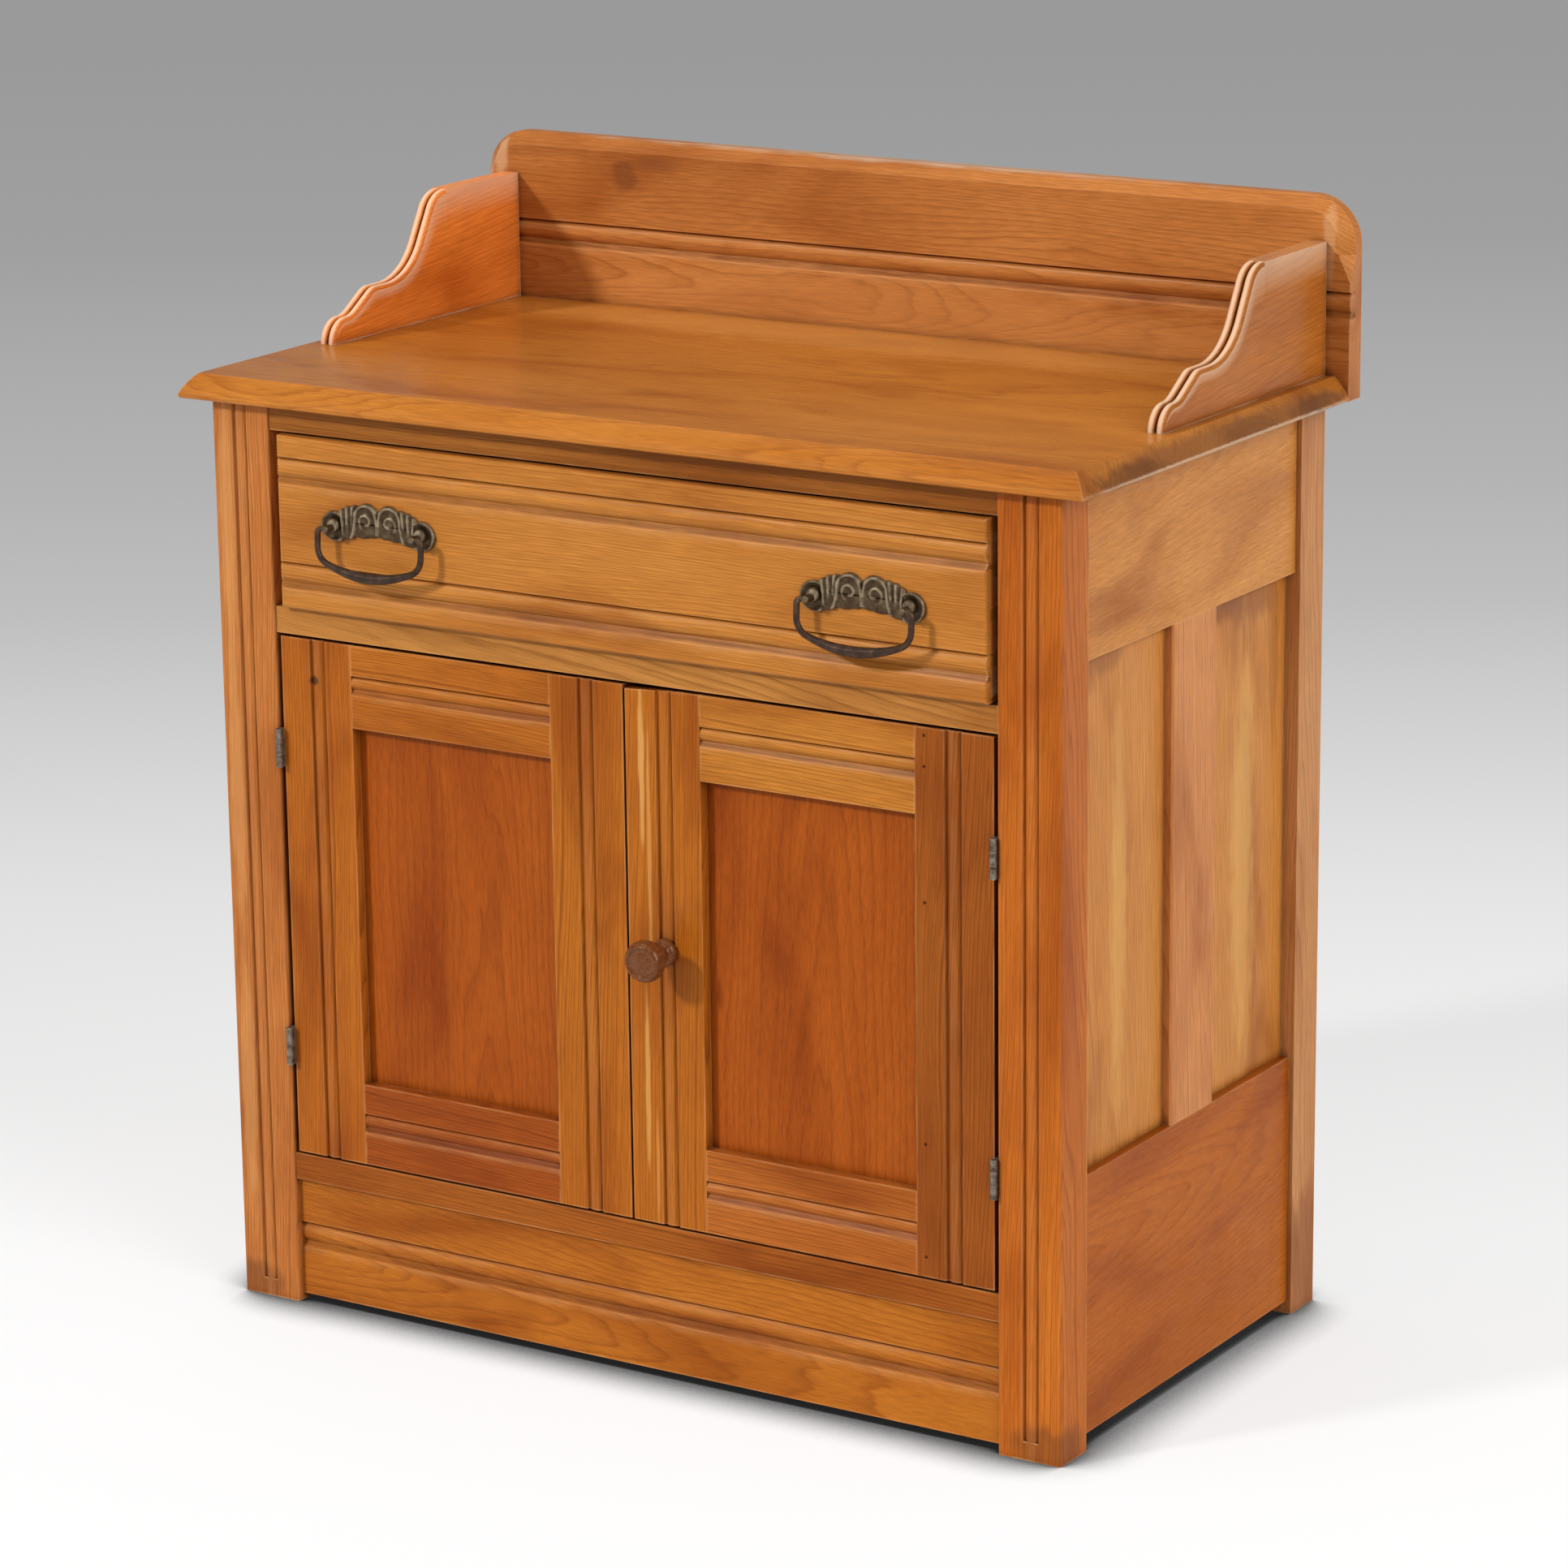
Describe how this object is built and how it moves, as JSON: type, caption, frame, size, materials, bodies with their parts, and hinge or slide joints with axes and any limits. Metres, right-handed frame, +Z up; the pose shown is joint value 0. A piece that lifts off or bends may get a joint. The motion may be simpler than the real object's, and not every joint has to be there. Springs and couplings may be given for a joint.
{
  "type": "dry sink cabinet",
  "caption": "Wooden washstand cupboard with a splash back and scrolled side galleries on its top, over a drawer with bail pulls and a cupboard with framed doors.",
  "frame": {"origin": "on the floor, at the centre of the rectangle that the four posts stand in", "axes": "+X towards the viewer's right along the front, +Y towards the wall behind, +Z up; the drawer and doors face -Y"},
  "size_m": [0.8086, 0.4641, 0.898],
  "materials": {
    "carcass_wood": "satin varnished honey-orange pine, darker in the quirks",
    "top_wood": "satin varnished pine with a darkened right end",
    "gallery_wood": "satin varnished pine with pale worn edges",
    "drawer_front_wood": "satin varnished pine, lighter than the case",
    "drawer_box_wood": "bare planed pine",
    "door_frame_wood": "satin varnished pine",
    "door_panel_wood": "satin varnished plain-sawn pine, redder than the frame",
    "side_wood": "satin varnished pine, paler and duller than the front",
    "bare_pine": "bare sawn pine, darkened with age",
    "dark_bronze": "dark patina, rubbed pale on the high places",
    "aged_steel": "dull brown-grey, tarnished",
    "turned_knob": "glossy reddish-brown, turned"
  },
  "bodies": {
    "carcass": {"back_boards": "bare_pine", "backsplash": "gallery_wood", "bottom_rail_front": "carcass_wood", "cupboard_floor": "bare_pine", "drawer_kickers": "bare_pine", "drawer_runner_left": "bare_pine", "drawer_runner_right": "bare_pine", "floor_cleats": "bare_pine", "front_post_left": "carcass_wood", "front_post_right": "carcass_wood", "gallery_left": "gallery_wood", "gallery_right": "gallery_wood", "hinge_post_leaves_left": "aged_steel", "hinge_post_leaves_right": "aged_steel", "middle_rail_front": "carcass_wood", "plinth_front": "carcass_wood", "rear_bottom_rail": "bare_pine", "rear_post_left": "carcass_wood", "rear_post_right": "carcass_wood", "rear_top_rail": "bare_pine", "side_bottom_rail_left": "side_wood", "side_bottom_rail_right": "side_wood", "side_muntin_left": "side_wood", "side_muntin_right": "side_wood", "side_panels_left": "side_wood", "side_panels_right": "side_wood", "side_top_rail_left": "side_wood", "side_top_rail_right": "side_wood", "top_board": "top_wood", "top_glue_blocks": "bare_pine", "top_rail_front": "carcass_wood"},
    "drawer": {"drawer_front": "drawer_front_wood", "drawer_side_left": "drawer_box_wood", "drawer_side_right": "drawer_box_wood", "drawer_back": "drawer_box_wood", "drawer_bottom": "drawer_box_wood", "pull_plates": "dark_bronze", "pull_posts": "dark_bronze"},
    "left_bail": {"pull_bail_left": "dark_bronze"},
    "right_bail": {"pull_bail_right": "dark_bronze"},
    "left_door": {"door_left_panel": "door_panel_wood", "door_left_rail_bottom": "door_frame_wood", "door_left_rail_top": "door_frame_wood", "door_left_stile_hinge": "door_frame_wood", "door_left_stile_meeting": "door_frame_wood", "hinge_door_leaves_left": "aged_steel", "left_button_screw": "aged_steel"},
    "right_door": {"door_right_panel": "door_panel_wood", "door_right_rail_bottom": "door_frame_wood", "door_right_rail_top": "door_frame_wood", "door_right_stile_hinge": "door_frame_wood", "door_right_stile_meeting": "door_frame_wood", "hinge_door_leaves_right": "aged_steel"},
    "knob_body": {"knob": "turned_knob", "knob_catch": "bare_pine"},
    "left_button_body": {"left_button": "bare_pine"}
  },
  "joints": [
    {"name": "drawer_slide", "type": "slide", "parent": "carcass", "child": "drawer", "axis": [0, -1, 0], "range_m": [0, 0.28]},
    {"name": "left_door_hinge", "type": "hinge", "parent": "carcass", "child": "left_door", "pos_m": [-0.325, -0.21075, 0.34], "axis": [0, 0, -1], "range_deg": [0, 170]},
    {"name": "right_door_hinge", "type": "hinge", "parent": "carcass", "child": "right_door", "pos_m": [0.325, -0.21075, 0.34], "axis": [0, 0, 1], "range_deg": [0, 170]},
    {"name": "left_bail_swing", "type": "hinge", "parent": "drawer", "child": "left_bail", "pos_m": [-0.2188, -0.22675, 0.6522], "axis": [-1, 0, 0], "range_deg": [0, 85]},
    {"name": "right_bail_swing", "type": "hinge", "parent": "drawer", "child": "right_bail", "pos_m": [0.2175, -0.22675, 0.6462], "axis": [-1, 0, 0], "range_deg": [0, 85]},
    {"name": "knob_turn", "type": "hinge", "parent": "right_door", "child": "knob_body", "pos_m": [0.0346, -0.206, 0.35], "axis": [0, 1, 0], "range_deg": [0, 90]},
    {"name": "left_button_turn", "type": "hinge", "parent": "left_door", "child": "left_button_body", "pos_m": [-0.16205, -0.184, 0.536], "axis": [0, 1, 0], "range_deg": [0, 90]}
  ]
}
